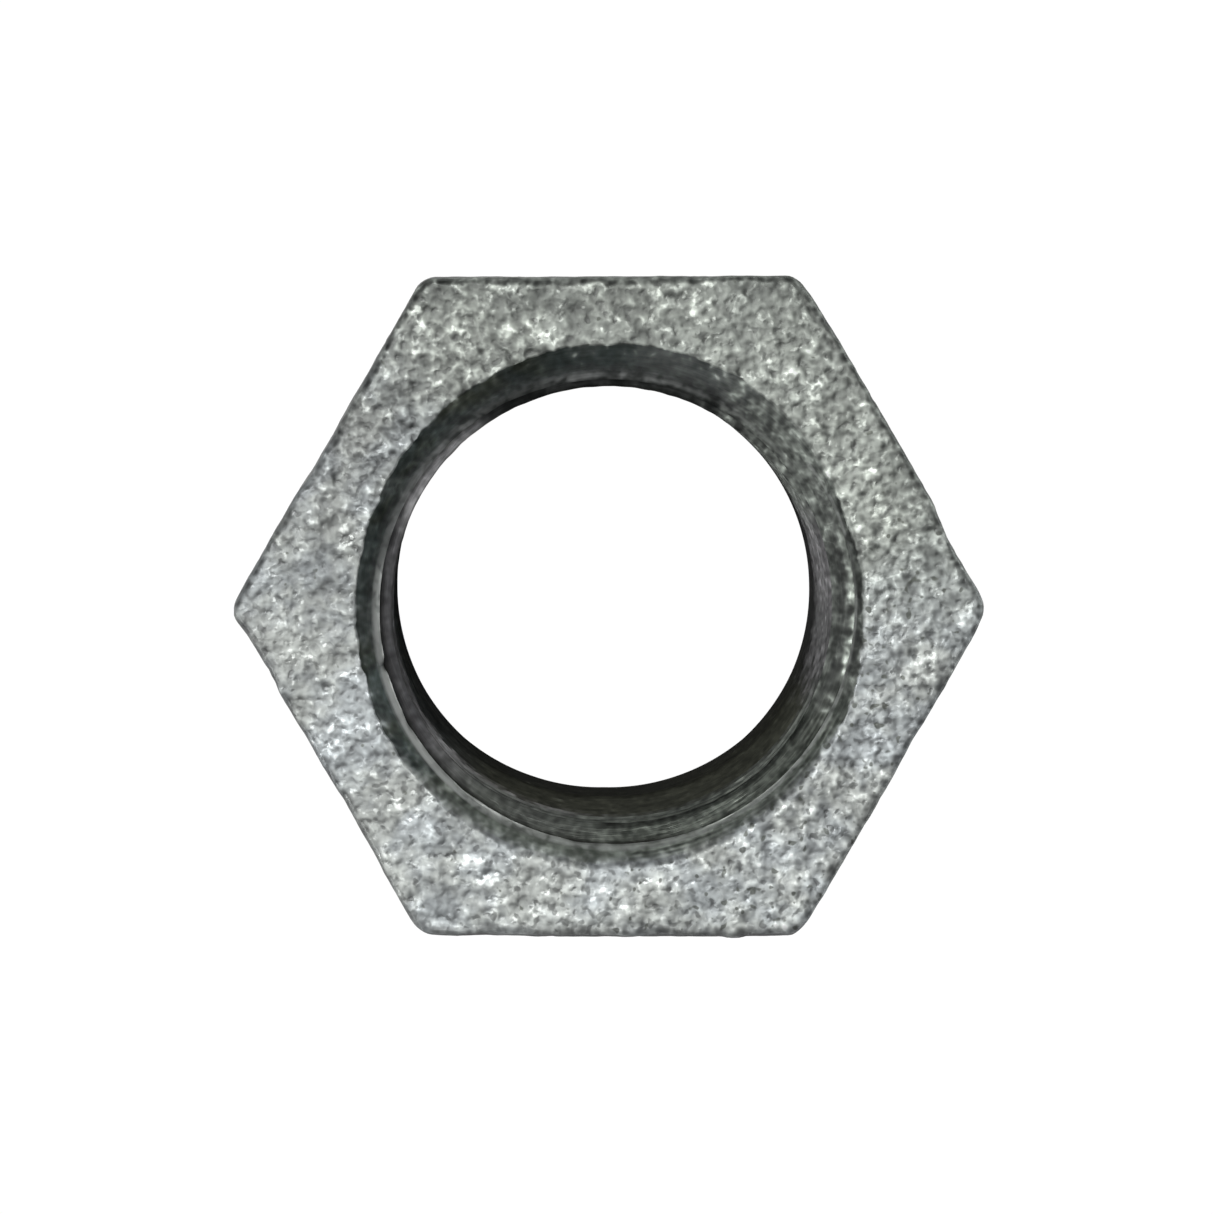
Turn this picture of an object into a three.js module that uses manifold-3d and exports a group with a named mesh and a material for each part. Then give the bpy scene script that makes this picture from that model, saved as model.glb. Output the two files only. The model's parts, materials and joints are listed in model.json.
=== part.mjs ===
// Hexagon reducing bush (concentric reducer bushing), R 1 outside by Rp 3/4 inside.
//
// One malleable-iron casting, hot-dip galvanised, with a taper male thread, a
// parallel female thread on the same axis, and a 45 degree countersink at the
// mouth of the female thread.
//
// Millimetres, +Z up. The origin is the centre of the male end face, the axis of
// both threads is +Z, and the flat face of the hexagon is at z = OVERALL_LENGTH.
// Two wrench flats face +Y and -Y, so two corners point along +X and -X.

import * as THREE from 'three';
import { mergeVertices } from 'three/addons/utils/BufferGeometryUtils.js';
import Module from 'manifold-3d';

// ---------------------------------------------------------------- dimensions

const OVERALL_LENGTH = 29.0;      // male end face to hexagon face
const HEX_ACROSS_FLATS = 36.0;
const HEX_THICKNESS = 9.5;
const HEX_CORNER_RADIUS = 2.0;    // vertical corners, as cast
const HEX_EDGE_RADIUS = 0.5;      // rim of both hexagon faces, as cast
const HEX_UNDERSIDE = OVERALL_LENGTH - HEX_THICKNESS;

const MALE_GAUGE_DIAMETER = 33.249;   // R 1, major diameter at the gauge plane
const MALE_GAUGE_LENGTH = 10.4;       // gauge plane above the male end face
const MALE_PITCH = 2.309;
const MALE_PHASE = 0.6;               // height of a root's lower corner at angle 0
const MALE_THREAD_DEPTH = 1.479;
const MALE_TAPER = 1 / 16;            // on diameter
const MALE_START_RADIUS = 14.55;      // inner edge of the 45 degree start chamfer
const MALE_CHAMFER_REACH = 3;         // carries that chamfer out past the crests
const MALE_THREAD_END = 18.4;         // where the threaded part meets the neck
const MALE_END_SLOPE_HEIGHT = 1.3;    // slope from the thread down to the neck
const MALE_RUNOUT_START = 15.2;       // the groove gets shallower above this
const MALE_RUNOUT_LEFT = 0.45;        // share of the depth left at the neck

const NECK_RADIUS = 15.3;             // plain relief under the hexagon
const NECK_FILLET = 0.5;              // drawn as a 45 degree slope
const NECK_OVERLAP = 0.9;             // how far the neck reaches into the threaded part

const FEMALE_MAJOR_RADIUS = 26.441 / 2;   // Rp 3/4
const FEMALE_MINOR_RADIUS = 24.117 / 2;
const FEMALE_PITCH = 1.814;
const FEMALE_PHASE = 27.187;          // height of a crest's lower corner at angle 0
const FEMALE_FULL_DEPTH_FROM = 10.2;  // full thread from here up to the mouth
const FEMALE_RUNOUT_TO = 6.6;         // tap lead: the thread fades out down to here
const TAP_PLAIN_TIP = 0.4;            // plain length of the tap below its thread

const MOUTH_RADIUS = 14.0;            // countersink at the hexagon face, 45 degrees
const BORE_RADIUS = 12.1;             // plain bore at the male end
const BORE_PLAIN_TO = 8.2;
const BORE_END_CHAMFER = 0.5;         // 45 degrees, at the male end face

// How far bodies run past the faces where they are cut or joined.
const OVERRUN = 2;
const SHORT_OVERRUN = 1;

const SEGMENTS = 48;                  // facets round the axis, turned and screw bodies
const HEX_CORNER_SEGMENTS = 4;
const HEX_EDGE_SEGMENTS = 2;

// Whitworth form drawn as a trapezoid: flats of one sixth of the pitch, flanks
// of one third. Each entry is [share of the pitch, 0 at the low radius or 1 at
// the high radius].
const THREAD_FORM = [[0, 0], [1 / 6, 0], [1 / 2, 1], [2 / 3, 1]];

// ------------------------------------------------------------------- helpers

const wasm = await Module();
wasm.setup();

const clamp01 = (x) => THREE.MathUtils.clamp(x, 0, 1);

function toSolid(geometry) {
  const bare = geometry.clone();
  bare.deleteAttribute('normal');
  bare.deleteAttribute('uv');
  const welded = mergeVertices(bare, 1e-5);
  return new wasm.Manifold(new wasm.Mesh({
    numProp: 3,
    vertProperties: new Float32Array(welded.attributes.position.array),
    triVerts: new Uint32Array(welded.index.array),
  }));
}

function toGeometry(solid) {
  const mesh = solid.getMesh();
  const positions = new Float32Array(mesh.vertProperties);
  const geometry = new THREE.BufferGeometry();
  geometry.setAttribute('position', new THREE.BufferAttribute(positions, 3));
  geometry.setIndex(new THREE.BufferAttribute(new Uint32Array(mesh.triVerts), 1));
  geometry.computeVertexNormals();
  return geometry;
}

// A solid of revolution about +Z. The profile is a list of [radius, height] that
// runs upwards and starts and ends on the axis.
function turned(profile) {
  const points = profile.map(([radius, z]) => new THREE.Vector2(radius, z));
  const geometry = new THREE.LatheGeometry(points, SEGMENTS);
  geometry.rotateX(Math.PI / 2);      // the lathe's Y axis becomes +Z
  geometry.rotateZ(-Math.PI / 2);     // one facet edge lies on +X
  return toSolid(geometry);
}

// Welds coincident points, then drops the triangles that collapse. Many do at
// the ends of a screw, where several rows slide to the same point.
function weldAndClean(positions, index) {
  const raw = new THREE.BufferGeometry();
  raw.setAttribute('position', new THREE.Float32BufferAttribute(positions, 3));
  raw.setIndex(index);
  const welded = mergeVertices(raw, 1e-4);
  const ids = welded.index.array;
  const kept = [];
  for (let i = 0; i < ids.length; i += 3) {
    const [a, b, c] = ids.slice(i, i + 3);
    if (a !== b && b !== c && c !== a) kept.push(a, b, c);
  }
  welded.setIndex(kept);
  return welded;
}

// A right-hand screw body about +Z from zLow to zHigh. Its rows of points follow
// the helix, so each flank is one smooth ramp: the last column is the first one
// moved up by one whole form. radiusAt gives the radius from the height and the
// level (0 to 1) of the thread form.
function screw({ pitch, phase, zLow, zHigh, radiusAt }) {
  const rowsPerTurn = THREAD_FORM.length;
  const firstTurn = Math.floor((zLow - phase) / pitch) - 2;
  const lastTurn = Math.ceil((zHigh - phase) / pitch) + 1;
  const rows = (lastTurn - firstTurn + 1) * rowsPerTurn;

  const rowAt = (row, turnShare) => {
    const [share, level] = THREAD_FORM[row % rowsPerTurn];
    const turn = firstTurn + Math.floor(row / rowsPerTurn);
    return { z: phase + pitch * (turn + share + turnShare), level };
  };

  // The point where the form crosses the height of an end face.
  const crossingAt = (z, turnShare) => {
    let row = 1;
    while (rowAt(row, turnShare).z < z) row++;
    const below = rowAt(row - 1, turnShare);
    const above = rowAt(row, turnShare);
    const part = (z - below.z) / (above.z - below.z);
    return { z, level: below.level + part * (above.level - below.level) };
  };

  // Rows past an end slide to the crossing at that end.
  const limitedRowAt = (row, turnShare) => {
    const point = rowAt(row, turnShare);
    if (point.z < zLow) return crossingAt(zLow, turnShare);
    if (point.z > zHigh) return crossingAt(zHigh, turnShare);
    return point;
  };

  const positions = [];
  const addPoint = (radius, angle, z) => {
    positions.push(radius * Math.cos(angle), radius * Math.sin(angle), z);
    return positions.length / 3 - 1;
  };

  const columns = [];
  for (let j = 0; j <= SEGMENTS; j++) {
    const angle = (j % SEGMENTS) * 2 * Math.PI / SEGMENTS;
    const column = [];
    for (let k = 0; k < rows; k++) {
      const { z, level } = limitedRowAt(k, j / SEGMENTS);
      column.push(addPoint(radiusAt(z, level), angle, z));
    }
    columns.push(column);
  }
  const lowCentre = addPoint(0, 0, zLow);
  const highCentre = addPoint(0, 0, zHigh);

  const sides = [];
  const ends = [];
  for (let j = 0; j < SEGMENTS; j++) {
    const here = columns[j];
    const next = columns[j + 1];
    for (let k = 0; k < rows - 1; k++) {
      sides.push(here[k], next[k], next[k + 1]);
      sides.push(here[k], next[k + 1], here[k + 1]);
    }
    ends.push(lowCentre, next[0], here[0]);
    ends.push(highCentre, here[rows - 1], next[rows - 1]);
  }
  return toSolid(weldAndClean(positions, [...sides, ...ends]));
}

// ------------------------------------------------------------ hexagonal head

function hexagonShape() {
  const halfCorner = Math.PI / 6;
  const centreOut = (HEX_ACROSS_FLATS / 2 - HEX_CORNER_RADIUS) / Math.cos(halfCorner);
  const shape = new THREE.Shape();
  for (let corner = 0; corner < 6; corner++) {
    const middle = corner * Math.PI / 3;
    shape.absarc(
      centreOut * Math.cos(middle),
      centreOut * Math.sin(middle),
      HEX_CORNER_RADIUS,
      middle - halfCorner,
      middle + halfCorner,
      false,
    );
  }
  shape.closePath();
  return shape;
}

function makeHead() {
  const geometry = new THREE.ExtrudeGeometry(hexagonShape(), {
    depth: HEX_THICKNESS - 2 * HEX_EDGE_RADIUS,
    curveSegments: HEX_CORNER_SEGMENTS,
    steps: 1,
    bevelEnabled: true,
    bevelThickness: HEX_EDGE_RADIUS,
    bevelSize: HEX_EDGE_RADIUS,
    bevelOffset: -HEX_EDGE_RADIUS,
    bevelSegments: HEX_EDGE_SEGMENTS,
  });
  geometry.translate(0, 0, HEX_UNDERSIDE + HEX_EDGE_RADIUS);
  return toSolid(geometry);
}

// ------------------------------------------------------ male thread and neck

function maleRadiusAt(z, level) {
  const crest = (MALE_GAUGE_DIAMETER + (z - MALE_GAUGE_LENGTH) * MALE_TAPER) / 2;
  const runout = clamp01((z - MALE_RUNOUT_START) / (MALE_THREAD_END - MALE_RUNOUT_START));
  const depth = MALE_THREAD_DEPTH * (1 - runout * (1 - MALE_RUNOUT_LEFT));
  return crest - depth * (1 - level);
}

function makeMaleThread() {
  const thread = screw({
    pitch: MALE_PITCH,
    phase: MALE_PHASE,
    zLow: -OVERRUN,
    zHigh: MALE_THREAD_END + SHORT_OVERRUN,
    radiusAt: maleRadiusAt,
  });

  // Everything the threaded part may fill: a 45 degree chamfer at the start and
  // a shorter slope where it drops into the neck.
  const limitRadius = MALE_START_RADIUS + MALE_CHAMFER_REACH;
  const limit = turned([
    [0, 0],
    [MALE_START_RADIUS, 0],
    [limitRadius, MALE_CHAMFER_REACH],
    [limitRadius, MALE_THREAD_END - MALE_END_SLOPE_HEIGHT],
    [NECK_RADIUS, MALE_THREAD_END],
    [0, MALE_THREAD_END],
  ]);
  return thread.intersect(limit);
}

function makeNeck() {
  const bottom = MALE_THREAD_END - NECK_OVERLAP;
  const top = HEX_UNDERSIDE + OVERRUN;
  return turned([
    [0, bottom],
    [NECK_RADIUS, bottom],
    [NECK_RADIUS, HEX_UNDERSIDE - NECK_FILLET],
    [NECK_RADIUS + NECK_FILLET, HEX_UNDERSIDE],
    [NECK_RADIUS + NECK_FILLET, top],
    [0, top],
  ]);
}

// ------------------------------------------- bore, female thread, countersink

function makeBore() {
  return turned([
    [0, -SHORT_OVERRUN],
    [BORE_RADIUS + BORE_END_CHAMFER + SHORT_OVERRUN, -SHORT_OVERRUN],
    [BORE_RADIUS, BORE_END_CHAMFER],
    [BORE_RADIUS, BORE_PLAIN_TO],
    [0, BORE_PLAIN_TO],
  ]);
}

function tapRadiusAt(z, level) {
  const lead = clamp01((z - FEMALE_RUNOUT_TO) / (FEMALE_FULL_DEPTH_FROM - FEMALE_RUNOUT_TO));
  return FEMALE_MINOR_RADIUS + (FEMALE_MAJOR_RADIUS - FEMALE_MINOR_RADIUS) * lead * level;
}

// The body that cuts the female thread.
function makeTap() {
  return screw({
    pitch: FEMALE_PITCH,
    phase: FEMALE_PHASE,
    zLow: FEMALE_RUNOUT_TO - TAP_PLAIN_TIP,
    zHigh: OVERALL_LENGTH + OVERRUN,
    radiusAt: tapRadiusAt,
  });
}

function makeCountersink() {
  return turned([
    [0, OVERALL_LENGTH - MOUTH_RADIUS],
    [MOUTH_RADIUS + OVERRUN, OVERALL_LENGTH + OVERRUN],
    [0, OVERALL_LENGTH + OVERRUN],
  ]);
}

// ---------------------------------------------------------------- the casting

function makeGalvanised() {
  return new THREE.MeshStandardMaterial({
    name: 'galvanised_malleable_iron',
    color: 0x9fa3a0,
    roughness: 0.6,
    metalness: 0.85,
    flatShading: true,
  });
}

function makeReducerBody() {
  const solid = makeMaleThread()
    .add(makeNeck())
    .add(makeHead())
    .subtract(makeBore())
    .subtract(makeTap())
    .subtract(makeCountersink());
  const mesh = new THREE.Mesh(toGeometry(solid), makeGalvanised());
  mesh.name = 'reducer_body';
  return mesh;
}

const part = new THREE.Group();
part.name = 'hexagon_reducing_bush';
part.add(makeReducerBody());

export default part;
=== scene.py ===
"""Looks of a hexagon reducing bush: one galvanised casting, one closed mesh.

The bush stands on its male end: its axis is +Z, the end face is at z = 0 and the rough
hexagon face is on top. One corner of the hexagon points along +X. Angles run from +X
towards +Y. The mesh replaces the CAD node reducer_body and is built row by row round the
axis: hexagon head, neck, male taper thread, end face, bore, female thread, countersink.
Lengths in the geometry code and in the shader patterns are millimetres; the finished
mesh is turned into metres once.
"""

import itertools
import json
import math

import bpy
import numpy as np
from mathutils import Matrix, Vector

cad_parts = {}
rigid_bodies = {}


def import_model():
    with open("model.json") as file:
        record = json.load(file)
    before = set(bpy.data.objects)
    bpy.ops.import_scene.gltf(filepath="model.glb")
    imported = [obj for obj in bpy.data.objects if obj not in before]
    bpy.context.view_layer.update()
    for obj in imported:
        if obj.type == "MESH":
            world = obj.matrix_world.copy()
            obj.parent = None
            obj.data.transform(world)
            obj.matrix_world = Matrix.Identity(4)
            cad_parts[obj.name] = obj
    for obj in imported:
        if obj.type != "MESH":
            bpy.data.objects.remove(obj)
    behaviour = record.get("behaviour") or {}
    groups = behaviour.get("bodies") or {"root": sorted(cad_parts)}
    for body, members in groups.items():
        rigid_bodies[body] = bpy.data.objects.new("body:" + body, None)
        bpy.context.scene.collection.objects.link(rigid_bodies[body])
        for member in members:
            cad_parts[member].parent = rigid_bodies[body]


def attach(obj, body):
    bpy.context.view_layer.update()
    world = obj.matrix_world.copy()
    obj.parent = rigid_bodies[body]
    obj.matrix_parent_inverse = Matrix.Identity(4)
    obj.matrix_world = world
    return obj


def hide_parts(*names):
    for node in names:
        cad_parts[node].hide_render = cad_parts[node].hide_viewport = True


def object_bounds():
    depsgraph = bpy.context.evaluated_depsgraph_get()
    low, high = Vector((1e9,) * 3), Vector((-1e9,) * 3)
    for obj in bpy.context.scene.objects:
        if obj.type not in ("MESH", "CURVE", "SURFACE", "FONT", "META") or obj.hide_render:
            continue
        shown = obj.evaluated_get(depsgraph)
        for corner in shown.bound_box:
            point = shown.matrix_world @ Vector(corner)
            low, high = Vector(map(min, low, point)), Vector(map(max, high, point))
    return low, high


for leftover in list(bpy.data.objects):          # the start-up scene's own objects
    bpy.data.objects.remove(leftover)

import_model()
cad_low, cad_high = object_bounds()

TAU = 2 * math.pi
MM = 0.001

# ------------------------------------------------------------------ dimensions

# Hexagon head. Corners are listed at 0, 60, ... degrees and sides by their normals, at
# 30, 90, ... degrees.
HEX_HALF = 17.90          # half across flats of the rough casting
HEX_BOTTOM = 19.5
FACE_Z = 28.90            # mean height of the rough hexagon face
CORNER_RADIUS = [2.4, 1.9, 1.25, 1.5, 1.4, 1.5]
RIM_SIDES = [0.38, 0.50, 0.46, 0.34, 0.42, 0.29]       # rounding of the upper rim
RIM_SHADE = [0.45, -0.35, 0.30, 0.9, 1.9, 0.50]         # painted shade along it; below 0 painted lighter instead
RIM_LOW = 0.60            # rounding of the rim at the underside
SIDE_DRAFT = 0.10         # the sides draw in by half of this at the top and the bottom
SIDE_ERROR_LOW = 0.45     # share of the side errors left at the underside

NECK_R = 15.3
FILLET_R = NECK_R + 0.75  # outer edge of the fillet under the head
FILLET_DROP = 0.6
SHANK_TOP = 18.9          # the cast skin is smoother below this height

MALE_PITCH, MALE_DEPTH, MALE_TAPER = 2.309, 1.479, 1 / 16
MALE_PHASE = 0.6
MALE_GAUGE_D, MALE_GAUGE_L = 33.249, 10.4
MALE_START_R = 14.55
MALE_RUNOUT_Z = 15.2      # the thread gets shallower from here
MALE_END_Z = 18.4

FEM_PITCH = 1.814
FEM_MAJOR, FEM_MINOR = 13.22, 11.92
FEM_PHASE = 27.066        # height of a crest's lower corner at angle 0
FEM_START_Z = 5.8
BORE_R = 12.02
CONE_APEX = 15.0          # countersink: radius = height - CONE_APEX
SPLIT_Z = 24.6            # the mesh of the female thread is finer above this
CONE_END_Z = 28.36        # where the fine mesh ends, just under the mouth

# Columns of vertices round the axis.
HEAD_COLUMNS = 600
NECK_COLUMNS = 300
SHANK_COLUMNS = 216
MOUTH_COLUMNS = 400

# Rows in one turn of thread, as shares of the pitch.
ROWS_FINE = [0, 0.055, 0.1218, 0.186, 0.25, 0.314, 0.3782, 0.44,
             0.5, 0.56, 0.6218, 0.686, 0.75, 0.814, 0.8782, 0.945]
ROWS_MID = [0, 0.065, 0.1218, 0.25, 0.3782, 0.435, 0.5, 0.565, 0.6218, 0.75, 0.8782, 0.935]
ROWS_LOW = [0, 0.09, 0.25, 0.3782, 0.45, 0.55, 0.6218, 0.75, 0.91]

# Errors of the casting. For each side, keyed by the angle of its normal: place along the
# side, how far it stands off its true plane there.
SIDE_ERRORS = {
    30: [(-10.2, -0.14), (-9.3, -0.27), (-6.0, -0.28), (-4.7, -0.13), (-4.0, 0.01),
         (-2.0, 0.04), (5.0, 0.0), (10.0, -0.12)],
    90: [(-10.0, 0.08), (-5.0, 0.03), (0.0, 0.0), (5.0, -0.04), (10.0, -0.08)],
    150: [(-10.0, -0.10), (-5.0, -0.18), (0.0, -0.19), (2.0, -0.18), (2.9, -0.03), (10.0, -0.04)],
    210: [(-10.0, 0.15), (-9.2, 0.06), (-8.5, -0.08), (-5.6, -0.09), (-4.9, 0.04), (0.0, -0.01),
          (1.9, -0.05), (3.0, -0.04), (5.0, -0.04), (7.0, 0.03), (9.2, 0.08), (10.0, -0.02)],
    270: [(-10.0, -0.05), (-7.5, -0.08), (-5.5, -0.05), (-4.0, 0.01), (0.0, 0.03), (4.8, 0.01),
          (5.9, 0.03), (6.6, 0.20), (7.3, 0.04), (8.0, 0.01), (10.0, 0.0)],
    330: [(-10.0, -0.20), (-8.0, -0.09), (-2.0, -0.05), (0.5, -0.08), (1.9, -0.17), (3.0, -0.11),
          (4.0, -0.06), (6.0, -0.05), (8.2, -0.08), (9.3, -0.16), (10.2, -0.10)],
}
# Angle in degrees, how far the radius of the cored bore stands off.
BORE_ERRORS = [(0, -0.02), (25, -0.12), (45, -0.20), (62, -0.10), (90, 0.0), (135, 0.06),
               (180, 0.02), (210, 0.12), (228, 0.14), (250, 0.0), (270, -0.08), (290, 0.04),
               (312, 0.20), (335, 0.14), (360, -0.02)]
# The same for the mouth, where the rough face dips and rises at the countersink's cut.
MOUTH_ERRORS = [(0, -0.12), (20, -0.17), (36, -0.04), (47, 0.14), (70, 0.28), (100, 0.27),
                (125, 0.14), (150, 0.16), (175, 0.04), (200, 0.12), (225, 0.16), (255, 0.14),
                (300, 0.16), (335, 0.12), (350, -0.02), (360, -0.12)]
# Angle in degrees, strength of the burr along the countersink's cut through the thread.
BURR = [(0, 0.12), (8, 0.12), (20, 0.15), (80, 0.15), (100, 0.1), (160, 0.15), (169, 0.45),
        (173, 1.0), (193, 1.0), (194.5, 0.1), (196, 1.1), (209, 1.2), (212, 0.8), (216, 1.1),
        (232, 1.1), (250, 0.9), (275, 0.6), (300, 0.45), (332, 0.4), (342, 0.2), (350, 0.12),
        (360, 0.12)]
# Chips out of the burr: angle and half width in degrees, depth.
CHIPS = [(194.7, 1.6, 0.10), (209.5, 2.0, 0.07), (231.0, 2.5, 0.06), (262.0, 3.0, 0.05),
         (118.0, 3.0, 0.06)]
# Places where the painted rim shade is mostly left out: angle and half width in degrees.
RIM_SHADE_GAPS = [(213.4, 1.3), (38.0, 1.0), (141.0, 1.4), (334.0, 1.2)]

# ----------------------------------------------------------------------- noise


class Gradient:
    """Seeded gradient noise in three dimensions, about -1 to 1."""

    def __init__(self, seed):
        rng = np.random.RandomState(seed)
        self.perm = np.tile(rng.permutation(256), 4)
        grad = rng.normal(size=(256, 3))
        self.grad = grad / np.linalg.norm(grad, axis=1)[:, None]

    def __call__(self, place):
        place = np.asarray(place, float)
        cell = np.floor(place).astype(np.int64)
        part = place - cell
        fade = part * part * part * (part * (part * 6 - 15) + 10)
        total = 0.0
        for corner in itertools.product((0, 1), repeat=3):
            at = (cell + corner) & 255
            key = self.perm[self.perm[self.perm[at[..., 0]] + at[..., 1]] + at[..., 2]]
            lean = self.grad[key] * (part - corner)
            dot = lean[..., 0] + lean[..., 1] + lean[..., 2]
            weight = np.where(corner, fade, 1 - fade)
            total = total + weight[..., 0] * weight[..., 1] * weight[..., 2] * dot
        return total * 1.6


n_big, n_mid, n_grain, n_fine, n_pit = (Gradient(seed) for seed in (11, 23, 37, 53, 71))
n_turn = Gradient(91)


def ease(start, end, x):
    """0 at start, 1 at end and beyond, with a smooth run between; start may exceed end."""
    t = np.clip((np.asarray(x, float) - start) / (end - start), 0.0, 1.0)
    return t * t * (3 - 2 * t)


def lookup(x, table):
    """The second column of a table, interpolated at x in its first column."""
    columns = np.array(table)
    return np.interp(x, columns[:, 0], columns[:, 1])


def by_angle(angle, table):
    return lookup(np.degrees(angle) % 360, table)


def cast_relief(p):
    """Height of the rough galvanised skin at points p, about -0.16 to +0.05."""
    big = n_big(p / 4.6) + 0.5 * n_big(p / 2.3 + 9.1)
    mid = n_mid(p / 1.15)
    grain = n_grain(p / 0.58 + 0.35 * n_mid(p / 0.9 + 4.0)[..., None])
    fine = n_fine(p / 0.31)
    pits = ease(0.38, 0.78, n_pit(p / 1.05 + 31.7)) * (0.6 + 0.4 * n_fine(p / 0.5))
    dross = ease(0.42, 0.80, n_pit(p / 0.80 - 17.3))
    return (
        0.038 * big + 0.028 * mid + 0.016 * grain + 0.003 * fine - 0.07 * pits + 0.026 * dross
    )


# ------------------------------------------------------------------- the mesh


class Skin:
    """Collects vertices, triangles and per-vertex numbers of one closed surface.

    cast: share of rough zinc skin. edge: bright metal, partly painted highlight. cavity: depth in
    a groove.
    rim: painted shade along an edge and under the burr, or painted lighter where it is below 0.
    """

    NAMES = ("cast", "edge", "cavity", "rim")

    def __init__(self):
        self.points, self.triangles, self.count = [], [], 0
        self.marks = {name: [] for name in self.NAMES}

    def add(self, points, **marks):
        points = np.asarray(points, float).reshape(-1, 3)
        self.points.append(points)
        for name in self.NAMES:
            values = np.asarray(marks.get(name, 0.0), float).reshape(-1)
            self.marks[name].append(np.array(np.broadcast_to(values, (len(points),))))
        ids = np.arange(self.count, self.count + len(points))
        self.count += len(points)
        return ids

    def quads(self, ids, flip):
        """ids is rows x columns, the last column being the wrap of the first.

        flip says which quads are split along their other diagonal.
        """
        a, b = ids[:-1, :-1].ravel(), ids[1:, :-1].ravel()
        c, d = ids[1:, 1:].ravel(), ids[:-1, 1:].ravel()
        flip = flip.ravel()[:, None]
        first = np.where(flip, np.stack([a, b, d], 1), np.stack([a, b, c], 1))
        second = np.where(flip, np.stack([b, c, d], 1), np.stack([a, c, d], 1))
        self.keep(np.concatenate([first, second]))

    def keep(self, t):
        """Keeps the triangles that have three different corners."""
        good = (t[:, 0] != t[:, 1]) & (t[:, 1] != t[:, 2]) & (t[:, 2] != t[:, 0])
        self.triangles.append(t[good])

    def ring_grid(self, rings):
        """Joins a list of rings with the same number of columns."""
        ids = np.array([np.append(ring, ring[0]) for ring in rings])
        self.quads(ids, np.zeros((len(ids) - 1, ids.shape[1] - 1), bool))

    def join(self, ring_a, ring_b):
        """Joins two rings with different numbers of columns, both starting at angle 0."""
        count_a, count_b = len(ring_a), len(ring_b)
        i = j = 0
        out = []
        while i < count_a or j < count_b:
            next_a = (i + 1) / count_a if i < count_a else 9
            next_b = (j + 1) / count_b if j < count_b else 9
            a, b = ring_a[i % count_a], ring_b[j % count_b]
            if next_a <= next_b:
                i += 1
                out.append((a, b, ring_a[i % count_a]))
            else:
                j += 1
                out.append((a, b, ring_b[j % count_b]))
        self.keep(np.array(out))


skin = Skin()


def polar(r, angle, z):
    r, angle, z = np.broadcast_arrays(r, angle, z)
    return np.stack([r * np.cos(angle), r * np.sin(angle), z], -1)


def angles(count):
    return np.arange(count) * TAU / count


# --- outline of the hexagon


def side_error(angle):
    """How far the hexagon stands off its true outline; two sides share a corner's error."""
    deg = np.degrees(angle) % 360
    total, weights = np.zeros_like(deg), np.zeros_like(deg)
    for normal, table in SIDE_ERRORS.items():
        off = (deg - normal + 180) % 360 - 180
        along = HEX_HALF * np.tan(np.radians(np.clip(off, -32, 32)))
        weight = np.clip((31.5 - np.abs(off)) / 3.0, 0, 1)
        total += lookup(along, table) * weight
        weights += weight
    return total / np.maximum(weights, 1e-6)


def hexagon(angle, inset):
    """Radius of the rounded hexagon, moved in by inset."""
    sixth = np.round(angle / (TAU / 6))
    phi = np.abs(angle - sixth * (TAU / 6))
    radius = np.array(CORNER_RADIUS)[sixth.astype(int) % 6]
    centre = (HEX_HALF - radius) / math.cos(math.pi / 6)
    small = np.maximum(radius - inset, 0.05)
    half = centre * math.cos(math.pi / 6) + small
    tangent = np.arctan2(small * 0.5, centre + small * math.cos(math.pi / 6))
    chord = np.sqrt(np.maximum(small**2 - (centre * np.sin(phi)) ** 2, 0))
    arc = centre * np.cos(phi) + chord
    flat = half / np.cos(math.pi / 6 - phi)
    return np.where(phi < tangent, arc, flat)


def by_side(angle, values):
    """One value for each side, running over into the next round the corners."""
    at, out = [], []
    for k in range(-1, 8):
        at += [30 + 60 * k - 24, 30 + 60 * k + 24]
        out += [values[k % 6]] * 2
    return np.interp(np.degrees(angle), at, out)


# --- threads

# Rounded 55 degree form. Lengths are shares of the pitch.
FLANK = math.radians(27.5)
ROUND = 0.1373                                 # radius of the rounds
ROUND_HALF = ROUND * math.cos(FLANK)           # half width of a round
ROUND_RISE = ROUND * (1 - math.sin(FLANK))     # its height
FORM_DEPTH = 0.640327


def form(share):
    """Height of the thread form, 0 to 1; share 0 is mid low round, 0.5 mid high round."""
    from_low = np.abs((np.asarray(share) + 0.5) % 1.0 - 0.5)
    from_high = 0.5 - from_low

    def round_off(x):
        return ROUND - np.sqrt(np.maximum(ROUND**2 - np.minimum(x, ROUND_HALF) ** 2, 0))

    flank = ROUND_RISE + (from_low - ROUND_HALF) / math.tan(FLANK)
    upper = np.where(from_high < ROUND_HALF, FORM_DEPTH - round_off(from_high), flank)
    return np.where(from_low < ROUND_HALF, round_off(from_low), upper) / FORM_DEPTH


END_GAP = 0.03            # rows nearer than this to the end of a band are moved onto it


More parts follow.
